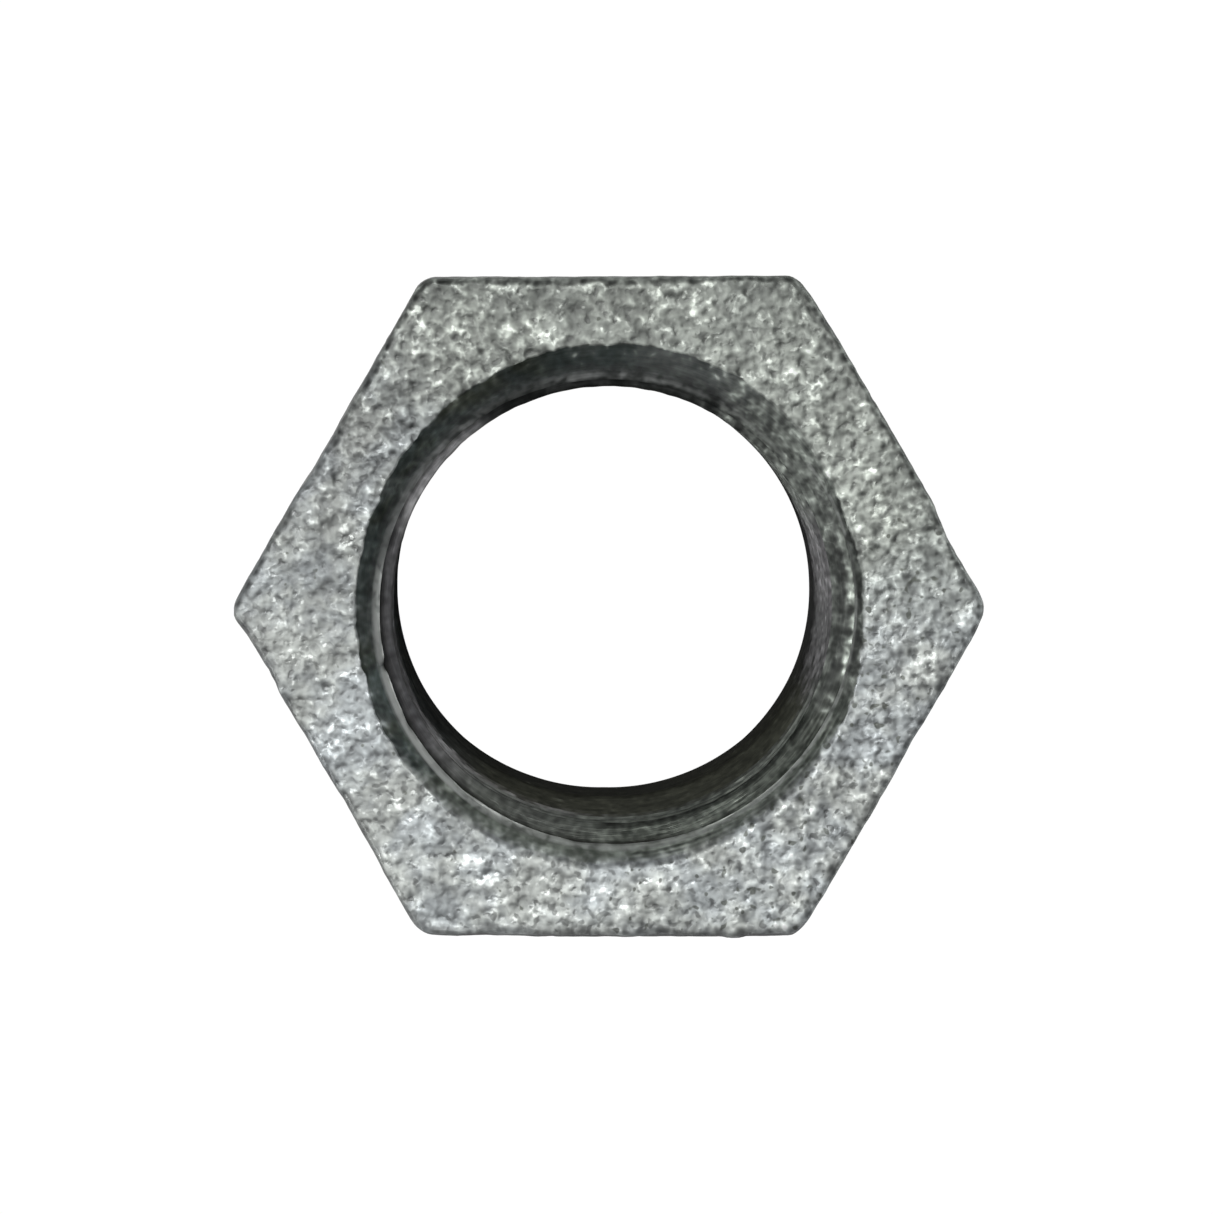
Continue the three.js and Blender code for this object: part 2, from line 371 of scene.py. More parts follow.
def helix_band(columns, bottom, top, pitch, phase, shares, surface, limit, in_bore, mark):
    """A threaded band whose rows follow the right-hand helix.

    surface(z, angle) is the thread's radius, limit(z) a turned surface that cuts it:
    in a bore the larger radius is taken, on a shank the smaller. A row next to a
    crossing of the two is moved onto it, so that the cut's edge is sharp. mark() gives
    the final points and their per-vertex numbers. Returns the first and last ring.
    """
    per_turn = len(shares)
    first = math.floor((bottom - phase) / pitch) - 2
    last = math.ceil((top - phase) / pitch) + 1
    row = np.arange((last - first + 2) * per_turn)
    base = phase + pitch * (first + row // per_turn + np.array(shares)[row % per_turn])
    around = angles(columns)
    z = base[:, None] + pitch * around[None, :] / TAU
    z = np.where(z < bottom + END_GAP, bottom, z)
    z = np.where(z > top - END_GAP, top, z)
    angle = np.broadcast_to(around[None, :], z.shape)

    # Crossings between one row and the next, found by halving.
    gap = surface(z, angle) - limit(z)
    i, j = np.nonzero((gap[:-1] * gap[1:] < 0) & (z[1:] > z[:-1]))
    below, above = z[i, j].copy(), z[i + 1, j].copy()
    for _ in range(24):
        middle = (below + above) / 2
        same = (surface(middle, around[j]) - limit(middle)) * gap[i, j] > 0
        below, above = np.where(same, middle, below), np.where(same, above, middle)
    cross = (below + above) / 2
    nearest = np.where(cross - z[i, j] < z[i + 1, j] - cross, i, i + 1)
    free = (z[nearest, j] > bottom) & (z[nearest, j] < top)
    on_cut = np.zeros(z.shape, bool)
    on_cut[nearest[free], j[free]] = True
    z[nearest[free], j[free]] = cross[free]

    # Height between each vertex and the cut, up to four rows away.
    cut_gap = np.where(on_cut, 0.0, 9.0)
    for s in (1, 2, 3, 4):
        apart = np.abs(z[s:] - z[:-s])
        cut_gap[s:] = np.minimum(cut_gap[s:], np.where(on_cut[:-s], apart, 9.0))
        cut_gap[:-s] = np.minimum(cut_gap[:-s], np.where(on_cut[s:], apart, 9.0))

    r = (np.maximum if in_bore else np.minimum)(surface(z, angle), limit(z))
    points, marks = mark(polar(r, angle, z), r, angle, z, on_cut, cut_gap)

    def add_part(part):
        return skin.add(points[part], **{name: value[part] for name, value in marks.items()})

    ids = np.empty(z.shape, int)
    at_bottom, at_top = z <= bottom, z >= top
    inner = ~(at_bottom | at_top)
    ids[inner] = add_part(inner)
    start, end = add_part(0), add_part(-1)
    ids[at_bottom] = np.broadcast_to(start, z.shape)[at_bottom]
    ids[at_top] = np.broadcast_to(end, z.shape)[at_top]
    # The helix closes on itself one turn of rows further on.
    grid = np.concatenate([ids[:-per_turn], ids[per_turn:, :1]], 1)
    cuts = np.concatenate([on_cut[:-per_turn], on_cut[per_turn:, :1]], 1)
    if not in_bore:
        grid, cuts = grid[::-1], cuts[::-1]
        start, end = end, start
    # The diagonal from (row + 1, column) to (row, column + 1) where the edge runs that way.
    skin.quads(grid, cuts[1:, :-1] & cuts[:-1, 1:])
    return start, end


# --- mouth: the rounded edge between the face and the countersink

EDGE_SETBACK = 0.41421    # from a 45 degree edge to the start of its round, in radii


def face_lift(angle):
    """The face is not quite flat: a little higher towards +Y and -Y than at the X corners."""
    return -0.075 * np.cos(2 * angle) + 0.03 * np.cos(3 * angle + 0.8)


def mouth_round(angle):
    """Radius of the mouth's edge: crisp towards -X +Y, worn round towards -Y and +X."""
    deg = np.degrees(angle)
    worn = ease(215, 262, deg) * (1 - ease(312, 340, deg))
    worn = worn + 0.6 * ease(338, 356, deg) + 0.6 * (1 - ease(28, 62, deg))
    place = polar(14.0, angle, 3.0)
    return np.clip(0.16 + 0.62 * worn + 0.10 * n_mid(place / 2.2), 0.08, 0.9)


def mouth_radius(angle):
    place = polar(14.0, angle, 0.0)
    true = FACE_Z + face_lift(angle) - CONE_APEX + by_angle(angle, MOUTH_ERRORS)
    return true + 0.11 * n_mid(place / 1.3) + 0.08 * n_grain(place / 0.55)


def mouth_ring(degrees):
    """Points on the mouth's edge: 0 degrees on the face to 45 on the cone."""
    around = angles(HEAD_COLUMNS)
    turn = math.radians(degrees)
    rounding = mouth_round(around)
    r = mouth_radius(around) + EDGE_SETBACK * rounding - rounding * math.sin(turn)
    z = FACE_Z + face_lift(around) - rounding * (1 - math.cos(turn))
    return polar(r, around, z)


# --- rough hexagon head


def rim_shade_strength(angle):
    """Strength of the painted shade along the rim; below 0 the rim is painted lighter."""
    deg = np.degrees(angle)
    left = np.ones_like(deg)
    for where, width in RIM_SHADE_GAPS:
        left = left * (1 - 0.9 * np.exp(-(((deg - where) / width) ** 2)))
    uneven = 0.92 + 0.3 * n_mid(polar(17.0, angle, 2.0) / 2.0)
    return left * uneven * by_side(angle, RIM_SHADE)


def underside_ring(around, share):
    """Points of the underside: share 0 at its outer edge, 1 at the fillet."""
    outer = hexagon(around, SIDE_DRAFT / 2 + RIM_LOW) + side_error(around) * SIDE_ERROR_LOW
    return polar(outer + (FILLET_R - outer) * share, around, HEX_BOTTOM)


def hexagon_head():
    """Face, upper rim, sides, lower rim and outer underside. Returns first and last ring."""
    around = angles(HEAD_COLUMNS)
    error = side_error(around)
    lift = face_lift(around)
    shade_strength = rim_shade_strength(around)
    place = polar(17.0, around, 5.0)
    uneven = np.clip(1 + 0.45 * n_mid(place / 1.9) + 0.30 * n_grain(place / 0.7), 0.5, 1.6)
    rim = by_side(around, RIM_SIDES) * uneven

    rings = [skin.add(mouth_ring(24), cast=0.80), skin.add(mouth_ring(11), cast=0.95)]
    inner = mouth_radius(around) + EDGE_SETBACK * mouth_round(around)
    outer = hexagon(around, rim) + error
    steps = 21
    for i in range(steps + 1):
        t = i / steps
        z = FACE_Z + lift * (1 - 0.6 * ease(0, 1, t))
        # The last rows of the face take some of the painted rim shade.
        dark = 0.30 * float(ease(0.93, 1.0, t)) * shade_strength
        rings.append(skin.add(polar(inner + (outer - inner) * t, around, z), cast=1.0, rim=dark))

    rim_top = FACE_Z + lift * 0.4
    # Share of the quarter round, painted shade there.
    for quarter, dark in ((0.22, 0.35), (0.46, 0.7), (0.72, 0.95), (1.0, 1.0)):
        turn = quarter * math.pi / 2
        r = hexagon(around, rim * (1 - math.sin(turn))) + error
        z = rim_top - rim * (1 - math.cos(turn))
        rings.append(skin.add(polar(r, around, z), cast=1.0, rim=dark * shade_strength))

    side_low = HEX_BOTTOM + RIM_LOW
    steps = 26
    for i in range(1, steps + 1):
        t = i / steps
        z = (rim_top - rim) * (1 - t) + side_low * t
        r = hexagon(around, SIDE_DRAFT * abs(t - 0.5))
        r = r + error * (1 - (1 - SIDE_ERROR_LOW) * ease(0.05, 0.5, t))
        # Painted shade runs a short way down the sides from the rim.
        dark = float(np.clip(1 - t * 9, 0, 1))
        rings.append(skin.add(polar(r, around, z), cast=1.0, rim=dark))

    for quarter in (0.35, 0.7, 1.0):
        turn = quarter * math.pi / 2
        r = hexagon(around, SIDE_DRAFT / 2 + RIM_LOW * (1 - math.cos(turn)))
        r = r + error * SIDE_ERROR_LOW
        z = side_low - RIM_LOW * math.sin(turn)
        # Painted shade on the lower rim.
        rings.append(skin.add(polar(r, around, z), cast=1.0, rim=0.4))
    for i in range(1, 5):
        rings.append(skin.add(underside_ring(around, i / 9), cast=1.0))
    skin.ring_grid(rings)
    return rings[0], rings[-1]


def neck(ring_above):
    """Inner underside, fillet and neck, as cast."""
    around = angles(NECK_COLUMNS)
    rings = [skin.add(underside_ring(around, i / 9), cast=1.0) for i in range(5, 10)]
    for quarter in (0.3, 0.6, 0.85, 1.0):
        turn = quarter * math.pi / 2
        r = NECK_R + (FILLET_R - NECK_R) * (1 - math.sin(turn))
        z = HEX_BOTTOM - FILLET_DROP * (1 - math.cos(turn))
        rings.append(skin.add(polar(r, around, z), cast=1.0, cavity=0.5))
    for z in (18.75, 18.58):
        rings.append(skin.add(polar(NECK_R, around, z), cast=1.0, cavity=0.6))
    skin.join(ring_above, rings[0])
    skin.ring_grid(rings)
    return rings[-1]


# --- male taper thread


def male_crest(z):
    return (MALE_GAUGE_D + (z - MALE_GAUGE_L) * MALE_TAPER) / 2


def male_surface(z, angle):
    share = (z - MALE_PHASE) / MALE_PITCH - angle / TAU
    runout = np.clip((z - MALE_RUNOUT_Z) / (MALE_END_Z - MALE_RUNOUT_Z), 0, 1)
    depth = MALE_DEPTH * (1 - 0.55 * runout)
    torn = 0.03 * ease(0.45, 0.85, n_turn(polar(16.0, angle, z) / 1.9))
    height = form(share)
    return male_crest(z) - 0.03 - depth * (1 - height) - torn * height**3


def male_limit(z):
    """A 45 degree lead at the end face and a steeper cone into the neck."""
    return np.minimum(MALE_START_R + z, NECK_R + (MALE_END_Z - z) * 1.73)


def male_marks(points, r, angle, z, on_cut, cut_gap):
    depth = np.clip((male_crest(z) - r) / MALE_DEPTH, 0, 1)
    # Painted highlight on the crests and along the lead's cut.
    crest = ease(0.82, 0.98, 1 - depth)
    return points, {
        "edge": np.clip(on_cut * 0.8 + crest * 0.8, 0, 1),
        "cavity": ease(0.42, 0.95, depth),
        "cast": ease(17.7, 18.3, z) * 0.8,
    }


def end_face_and_bore(ring_end):
    around = angles(SHANK_COLUMNS)
    rings = [ring_end]
    for r in (14.1, 13.65, 13.2, 12.85, BORE_R + 0.52):
        rings.append(skin.add(polar(r, around, 0.0)))
    error = by_angle(around, BORE_ERRORS)
    for r, z in ((BORE_R + 0.26, 0.26), (BORE_R, 0.55)):       # chamfer
        # A little bright metal and painted highlight on the chamfer.
        rings.append(skin.add(polar(r + error, around, z), edge=0.3, cavity=0.2))
    for z in (1.1, 1.9, 2.7, 3.5, 4.3, 5.1):
        rings.append(skin.add(polar(BORE_R + error, around, z), cavity=0.5))
    skin.ring_grid(rings)
    return rings[-1]


# --- female thread and countersink


def female_form(z, angle):
    # The crest is a sixth of the pitch wide, so its middle is 1/12 above its lower corner.
    return form((z - FEM_PHASE) / FEM_PITCH - angle / TAU - 1 / 12)


def female_surface(z, angle):
    """The thread fades in from the plain bore; its crests are torn in places."""
    minor = BORE_R + (FEM_MINOR - BORE_R) * ease(7.0, 9.0, z)
    depth = (FEM_MAJOR - minor) * np.clip((z - 6.6) / 3.6, 0, 1)
    height = female_form(z, angle)
    crest = by_angle(angle, BORE_ERRORS) * (1 - height)
    place = polar(12.5, angle, z)
    torn = 0.05 * ease(0.2, 0.8, n_turn(place / 1.3 + 5.0)) + 0.025 * n_turn(place / 0.6 + 9.0)
    return minor + depth * height + crest + torn * (1 - height) ** 3 * ease(6.0, 9.0, z)


def cone(z):
    return z - CONE_APEX


def female_marks(points, r, angle, z, on_cut, cut_gap):
    """Numbers of the thread, and the burr where the countersink cuts it.

    The burr stands up and leans in over the groove.
    """
    deg = np.degrees(angle)
    depth = np.clip((r - FEM_MINOR) / (FEM_MAJOR - FEM_MINOR), 0, 1)
    on_cone = np.abs(r - cone(z)) < 1e-4
    ragged = n_turn(points / 0.8) + 0.6 * n_turn(points / 0.35 + 3.0)
    strong = by_angle(angle, BURR) * (1 + 0.35 * ragged)
    chips = 0.0
    for where, width, deep in CHIPS:
        chips = chips + deep * np.exp(-(((deg - where) / width) ** 2))
    in_groove = ease(12.15, 12.6, r)
    sill = np.where(on_cut, r, 0.0).max(axis=0)[None, :]
    # The lower edge of the groove has hardly any burr.
    over = in_groove * np.where(r >= sill - 1e-3, 1.0, 0.2)
    lift = np.where(on_cut, 0.085 * strong - 0.4 * chips, 0.0) * over
    lean = np.where(on_cut, 0.035 * strong - chips, 0.0) * over
    moved = points.copy()
    moved[..., 0] -= lean * np.cos(angle)
    moved[..., 1] -= lean * np.sin(angle)
    moved[..., 2] += lift

    # Bright line along the cut, partly bare metal and partly painted highlight; towards -X -Y it
    # lies back from the edge.
    back = ease(170.0, 184.0, deg) * ease(292.0, 270.0, deg)
    line = ease(0.40, 0.26, cut_gap) * (1 - 0.5 * back * ease(0.14, 0.04, cut_gap))
    line = np.where(on_cone | on_cut, line, 0.3 * ease(0.2, 0.0, cut_gap)) * over
    # Painted highlight on the crests of the turns.
    crest = ease(0.10, 0.0, female_form(z, angle)) * 0.12 * (~on_cone) * (1 - line)

    # Painted shadow in the root below the burr, and on the far flank where it passes under the
    # edge above.
    root = ease(0.50, 0.10, cut_gap) * (~on_cone) * (~on_cut) * in_groove
    root = root * np.clip(strong, 0, 1)
    root = root * (1 - 0.85 * (ease(336.0, 344.0, deg) + ease(20.0, 10.0, deg)))
    under = np.where(sill > 0, np.clip(1.0 - (sill - r) / 0.30, -3.0, 1.0), 0.0)
    under = np.where(on_cut, 0.6, under) * (~on_cone | on_cut)
    under = under * ease(166.0, 176.0, deg) * ease(300.0, 276.0, deg)
    return moved, {
        "edge": np.clip(line * (0.15 + strong), 0, 1) + crest,
        "rim": np.where(root > under, root, under),
        "cavity": np.where(on_cone, 0.0, 0.35 + 0.65 * ease(0.4, 1.0, depth)),
    }


def female_band(columns, bottom, top, shares):
    return helix_band(columns, bottom, top, FEM_PITCH, FEM_PHASE, shares,
                      female_surface, cone, True, female_marks)


def cone_top(ring_below, ring_face):
    """The last of the countersink and the round of the mouth."""
    around = angles(HEAD_COLUMNS)
    low_edge = mouth_ring(45)
    z = CONE_END_Z + (low_edge[:, 2] - CONE_END_Z) * 0.45
    rings = [
        skin.add(polar(cone(z), around, z), cast=0.05),
        skin.add(low_edge, cast=0.22),
        skin.add(mouth_ring(35), cast=0.50),
    ]
    skin.join(ring_below, rings[0])
    skin.ring_grid(rings + [ring_face])


# --- the whole surface, from the mouth outwards, down and back up through the bore

ring_face, ring_under = hexagon_head()
ring_neck = neck(ring_under)
start, end = helix_band(SHANK_COLUMNS, 0.0, MALE_END_Z, MALE_PITCH, MALE_PHASE, ROWS_MID,
                        male_surface, male_limit, False, male_marks)
skin.join(ring_neck, start)
ring_bore = end_face_and_bore(end)
start, ring_low = female_band(SHANK_COLUMNS, FEM_START_Z, SPLIT_Z - 0.1, ROWS_LOW)
skin.ring_grid([ring_bore, start])
start, end = female_band(MOUTH_COLUMNS, SPLIT_Z, CONE_END_Z, ROWS_FINE)
skin.join(ring_low, start)
cone_top(end, ring_face)


def vertex_normals(points, triangles):
    a, b, c = (points[triangles[:, k]] for k in range(3))
    face = np.cross(b - a, c - a)
    out = np.zeros_like(points)
    for k in range(3):
        np.add.at(out, triangles[:, k], face)
    return out / np.maximum(np.linalg.norm(out, axis=1), 1e-12)[:, None]


def build_casting():
    """Raises the relief of the cast skin and makes the object."""
    points = np.concatenate(skin.points)
    triangles = np.concatenate(skin.triangles)
    marks = {name: np.concatenate(values) for name, values in skin.marks.items()}
    is_cast = marks["cast"] > 0.15
    amount = np.where(is_cast, marks["cast"], 0.0)
    amount = np.where((points[:, 2] < SHANK_TOP) & is_cast, amount * 0.5, amount)
    relief = cast_relief(points) * amount
    points = points + vertex_normals(points, triangles) * relief[:, None]
    # The rough casting never stands outside the size of the fitting.
    points = np.clip(points, np.array(cad_low) / MM, np.array(cad_high) / MM)

    count = len(triangles)
    mesh = bpy.data.meshes.new("reducer_body_skin")
    mesh.vertices.add(len(points))
    mesh.vertices.foreach_set("co", (points * MM).astype(np.float32).ravel())
    mesh.loops.add(count * 3)
    mesh.loops.foreach_set("vertex_index", triangles.astype(np.int32).ravel())
    mesh.polygons.add(count)
    mesh.polygons.foreach_set("loop_start", np.arange(0, count * 3, 3, dtype=np.int32))
    mesh.polygons.foreach_set("loop_total", np.full(count, 3, dtype=np.int32))
    mesh.update(calc_edges=True)
    mesh.validate()
    for name, values in marks.items():
        layer = mesh.attributes.new(name, "FLOAT", "POINT")
        layer.data.foreach_set("value", values.astype(np.float32))
    mesh.polygons.foreach_set("use_smooth", np.ones(len(mesh.polygons), bool))
    mesh.set_sharp_from_angle(angle=math.radians(52))
    return add_object("casting", mesh)


def add_object(name, data):
    made = bpy.data.objects.new(name, data)
    bpy.context.scene.collection.objects.link(made)
    return made


casting = build_casting()

# ------------------------------------------------------------- shader helpers


class Signal:
    """A node's output. Arithmetic adds Math nodes, with the operands in the order written."""

    def __init__(self, node, output=0):
        self.socket = node.outputs[output]

    def __add__(self, other):
        return calc("ADD", self, other)

    def __radd__(self, other):
        return calc("ADD", other, self)

    def __sub__(self, other):
        return calc("SUBTRACT", self, other)

    def __rsub__(self, other):
        return calc("SUBTRACT", other, self)

    def __mul__(self, other):
        return calc("MULTIPLY", self, other)

    def __pow__(self, other):
        return calc("POWER", self, other)

    def __rpow__(self, other):
        return calc("POWER", other, self)


def open_tree(owner):
    """Empties the node tree of a material or world; the helpers below then add to it."""
    global tree
    owner.use_nodes = True
    tree = owner.node_tree
    tree.nodes.clear()


def add_node(kind, inputs=None, **settings):
    made = tree.nodes.new("ShaderNode" + kind)
    for name, value in settings.items():
        setattr(made, name, value)
    for key, value in (inputs or {}).items():
        socket = made.inputs[key]
        if isinstance(value, Signal):
            tree.links.new(value.socket, socket)
        elif isinstance(value, tuple) and socket.type == "RGBA":
            socket.default_value = (*value, 1.0)
        else:
            socket.default_value = value
    return made


def calc(operation, a, b=0.0, c=0.0):
    return Signal(add_node("Math", {0: a, 1: b, 2: c}, operation=operation))


def larger(a, b):
    return calc("MAXIMUM", a, b)


def exp(power):
    return math.e ** power


def vector(operation, a, b=(0, 0, 0)):
    made = add_node("VectorMath", {0: a, 1: b}, operation=operation)
    return Signal(made, "Value" if operation in ("LENGTH", "DOT_PRODUCT") else "Vector")


def scaled(a, by):
    """A vector or colour times a number."""
    return Signal(add_node("VectorMath", {0: a, "Scale": by}, operation="SCALE"), "Vector")


def split(a):
    """The X, Y and Z of a vector."""
    made = add_node("SeparateXYZ", {"Vector": a})
    return [Signal(made, axis) for axis in "XYZ"]


def combine(x, y, z):
    return Signal(add_node("CombineXYZ", {"X": x, "Y": y, "Z": z}))


def noise(at, scale, detail, rough=0.5, distort=0.0):
    """Noise from -1 to 1."""
    inputs = {"Vector": at, "Scale": scale, "Detail": detail,
              "Roughness": rough, "Distortion": distort}
    return calc("MULTIPLY_ADD", Signal(add_node("TexNoise", inputs), "Fac"), 2.0, -1.0)


def rises(value, low, high, start=0.0, end=1.0):
    """start up to value = low, end from value = high, with a smooth run between."""
    inputs = {"Value": value, "From Min": low, "From Max": high, "To Min": start, "To Max": end}
    return Signal(add_node("MapRange", inputs, interpolation_type="SMOOTHSTEP"), "Result")


def falls(value, low, high):
    return rises(value, low, high, start=1.0, end=0.0)


def mix(share, a, b):
    """Colour a at share 0, colour b at share 1."""
    inputs = {"Factor": share, 6: a, 7: b}
    return Signal(add_node("Mix", inputs, data_type="RGBA", clamp_factor=True), 2)


def blend(share, a, b):
    """Number a at share 0, number b at share 1."""
    inputs = {"Factor": share, 2: a, 3: b}
    return Signal(add_node("Mix", inputs, data_type="FLOAT", clamp_factor=True))


def mix_shader(share, a, b):
    return Signal(add_node("MixShader", {0: share, 1: a, 2: b}))


# ------------------------------------------------- material: fitting, patterns

galvanised = bpy.data.materials.new("galvanised_malleable_iron")
open_tree(galvanised)

place = scaled(Signal(add_node("TexCoord"), "Object"), 1000.0)          # millimetres
cast, edge, cavity, rim = (
    Signal(add_node("Attribute", attribute_name=name), "Fac") for name in Skin.NAMES
)
across_x, across_y, height = split(place)
flat = combine(across_x, across_y, 0.0)
radius = vector("LENGTH", flat)
unit = vector("NORMALIZE", flat)


def towards(angle, full, end):
    """A sector round a direction: 1 within full degrees of it, 0 beyond end degrees."""
    t = math.radians(angle)
    off = vector("DOT_PRODUCT", unit, (math.cos(t), math.sin(t), 0.0))
    return rises(off, math.cos(math.radians(end)), math.cos(math.radians(full)))


def moved(*offset):
    """The place, moved so that one noise doesn't repeat another."""
    return vector("ADD", place, offset)


# Noises from the widest to the finest; scales are per millimetre.
wide = noise(place, scale=0.10, detail=2)
cloud = noise(place, scale=0.34, detail=2, distort=0.3)
smear = noise(place, scale=0.42, detail=3, rough=0.6, distort=0.5)
blotch = noise(place, scale=0.85, detail=1, distort=0.4)
mottle = noise(place, scale=1.70, detail=1, distort=0.3)
grain = noise(place, scale=2.7, detail=0, distort=0.2)
fine = noise(place, scale=7.5, detail=1)
blots = blotch * 0.75 + mottle * 0.55

# Marks of the skin: thin curls, raised specks and pits.
vein = noise(moved(5.0, 17.0, 9.0), scale=1.6, detail=1, distort=0.8)
curl = falls(calc("ABSOLUTE", vein), 0.0, 0.24)
curl *= rises(noise(moved(2.0, 47.0, 1.0), scale=0.9, detail=2, rough=0.55), -0.10, 0.30)
speck = noise(moved(11.0, 3.0, 29.0), scale=2.6, detail=1)
speck = rises(speck + blotch * 0.5, 0.14, 0.44)
pit = noise(moved(31.0, 7.0, 3.0), scale=2.1, detail=1)
pit = rises(pit + cloud * 0.45, 0.18, 0.44)

# Machining marks run round the axis.
unit_x, unit_y, _ = split(unit)
round_place = combine(unit_x * 2.2, unit_y * 2.2, radius * 2.6 + height * 3.0)
marks = noise(round_place, scale=1.7, detail=3, rough=0.65)
marks_fine = noise(round_place, scale=5.0, detail=2, rough=0.6)

# Parts of the fitting.
facing = split(Signal(add_node("NewGeometry"), "True Normal"))[2]
upright = falls(calc("ABSOLUTE", facing), 0.35, 0.85)                   # sides of the head
shank = rises(radius, 12.7, 13.2) * falls(height, 19.0, 19.4)
worn = towards(272, 44, 76) * rises(height, 26.9, 28.5)                 # mouth towards -Y
is_cast = cast + (mottle * 0.34 + grain * 0.32) * blend(worn, 1.0, 0.20)
is_cast = rises(is_cast + worn * 0.34, 0.26, 0.74)

# Stains in the bore: a bloom towards -X, oil low down and dust higher up towards -Y, and
# a dry crust of zinc towards +X.
bloom = towards(195, 50, 80) * rises(height + blots * 2.0, 18.0, 21.5)
bloom = larger(bloom, towards(144, 11, 25) * rises(height, 25.2, 26.4))
bloom *= rises(cavity, 0.05, 0.30)
low_side = towards(284, 44, 70)
oily = low_side * falls(height + blots * 1.6, 20.8, 23.0)
dusty = low_side * rises(height + blots * 1.6, 21.2, 23.4)
dry = towards(17, 16, 58) * rises(height, 1.0, 10.0)
dry = rises(dry + blots * 0.55, 0.22, 0.80)

# -------------------------------------------------- material: fitting, colours


def zinc_tone():
    """Brightness of the rough zinc skin, summed as a power of e."""
    upper = towards(100, 95, 140)
    # Contrast of the small patterns, by sector.
    calm = blend(towards(235, 55, 95), 1.0, 0.80)
    calm *= 1.0 + (towards(26, 30, 48) * 0.12 + towards(314, 12, 26) * 0.14)
    calm *= 1.0 + (towards(180, 24, 42) * 0.14 + towards(130, 16, 32) * 0.22)
    blotchy = towards(180, 26, 44) * -0.28 + towards(314, 12, 26) * 0.14
    blotchy = blend(towards(105, 14, 36), 0.56, 0.90) + blotchy

    power = wide * 0.38
    power += cloud * 0.38
    power += blotch * blotchy
    power += mottle * blend(towards(104, 14, 36), 1.16, 1.75) * calm
    power += grain * blend(towards(292, 58, 88), 1.02, 0.80) * calm
    power += curl * blend(upper, 0.20, 0.27)
    power += speck * blend(upper, 0.20, 0.30)
    power -= pit * blend(upper, 0.62, 0.34)
    power -= rises(across_y, 16.3, 17.7) * 0.30                         # painted shade along the edge towards +Y
    power -= towards(303, 21, 32) * falls(radius, 14.2, 14.9) * 0.30    # painted shade over the lit round of the mouth
    power = power * blend(upright, 1.0, 0.36) + upright * 0.14          # even sides, painted lighter
    power += across_y * -0.012                                          # duller towards +Y
    # Darker and lighter sectors.
    power += towards(118, 24, 52) * -0.34
    power += towards(255, 8, 36) * 0.06
    power -= towards(194, 12, 34) * 0.10
    power += towards(290, 34, 62) * 0.08
    return exp(power)


def zinc_colour():
    warm = rises(noise(place, scale=0.32, detail=2) + mottle * 0.3, -0.35, 0.35)
    zinc = mix(warm, (0.245, 0.262, 0.266), (0.257, 0.269, 0.257))
    olive = towards(68, 46, 80) * 0.9                                   # as if thinner
    zinc = mix(olive, zinc, (0.251, 0.268, 0.2435))
    zinc = vector("MINIMUM", scaled(zinc, zinc_tone()), (0.86, 0.87, 0.86))
    # A few deep pinholes with an olive stain, most of them towards +X -Y.
    hole = noise(moved(71.0, 13.0, 41.0), scale=1.9, detail=1)
    hole = rises(hole + towards(318, 30, 75) * 0.16, 0.44, 0.60)
    zinc = mix(hole * blend(upright, 0.75, 0.25), zinc, (0.055, 0.060, 0.048))
    # Painted shade along the rim, darkest on the face at the -X corner; where rim is below 0 the
    # zinc is painted lighter instead.
    dark = rim * blend(towards(181, 7, 12) * rises(facing, 0.5, 0.9), 0.55, 1.0)
    zinc = mix(dark, zinc, (0.070, 0.067, 0.070))
    return scaled(zinc, 1.0 + larger(rim * -1.0, 0.0) * 2.2)


def bloom_colour():
    """Violet-grey, paler in two sectors."""
    pale = larger(towards(250, 22, 42), towards(144, 9, 22))
    pale_colour = mix(towards(141, 8, 20), (0.58, 0.57, 0.58), (0.62, 0.61, 0.62))
    haze = mix(pale, (0.24, 0.235, 0.245), pale_colour)
    fading = rises(height, 25.8, 26.8, start=1.6, end=0.50)
    return scaled(haze, blend(towards(195, 34, 56), 1.0, fading))


def dust_colour():
    """Dust with fine turning marks on the countersink and the first turn."""
    wave = radius * 26.0 + (smear * 4.0 + blotch * 1.2)
    turned = calc("SINE", wave) * rises(smear, -0.25, 0.2) * blend(towards(306, 24, 42), 0.12, 1.0)
    power = turned * 0.55 + (grain * 0.18 + mottle * 0.22)
    dust = scaled((0.143, 0.158, 0.137), exp(power))
    # Lighter near the mouth, most of all in one narrow sector.
    dust = scaled(dust, 1.0 + rises(height, 28.0, 28.4) * blend(towards(255, 22, 56), 0.28, 0.72))
    return scaled(dust, 1.0 + towards(263, 5, 13) * rises(height, 28.05, 28.4) * 0.55)


def bore_ring(middle, width):
    """A soft ring round the bore at one height."""
    off = calc("ABSOLUTE", height + blots * 0.25 + (-middle))
    return falls(off, width * 0.35, width)


def crust_colour():
    """The dry crust of zinc."""
    power = mottle * 1.6 + (grain * 1.1 + (curl * 0.5 + blotch * 0.6))
    power += towards(24, 10, 24) * rises(height, 27.5, 28.3, end=0.35)
    # Two dark rings with a light one between them.
    power -= bore_ring(28.44, 0.42) * towards(344, 32, 50) * 1.0
    power -= bore_ring(27.50, 0.40) * towards(354, 14, 26) * 0.75
    power += bore_ring(28.02, 0.24) * towards(357, 10, 16) * 1.15
    power += towards(8, 16, 32) * falls(height, 26.6, 27.2) * 0.28
    power -= pit * 0.5
    # Calmer and greyer below the countersink, darker towards -Y.
    deep = towards(356, 18, 34) * falls(height, 26.4, 27.2)
    power *= blend(deep, 1.0, 0.60)
    power -= towards(339, 14, 24) * falls(height, 26.6, 27.2) * 0.50
    return scaled(mix(deep, (0.133, 0.145, 0.131), (0.146, 0.142, 0.147)), exp(power))


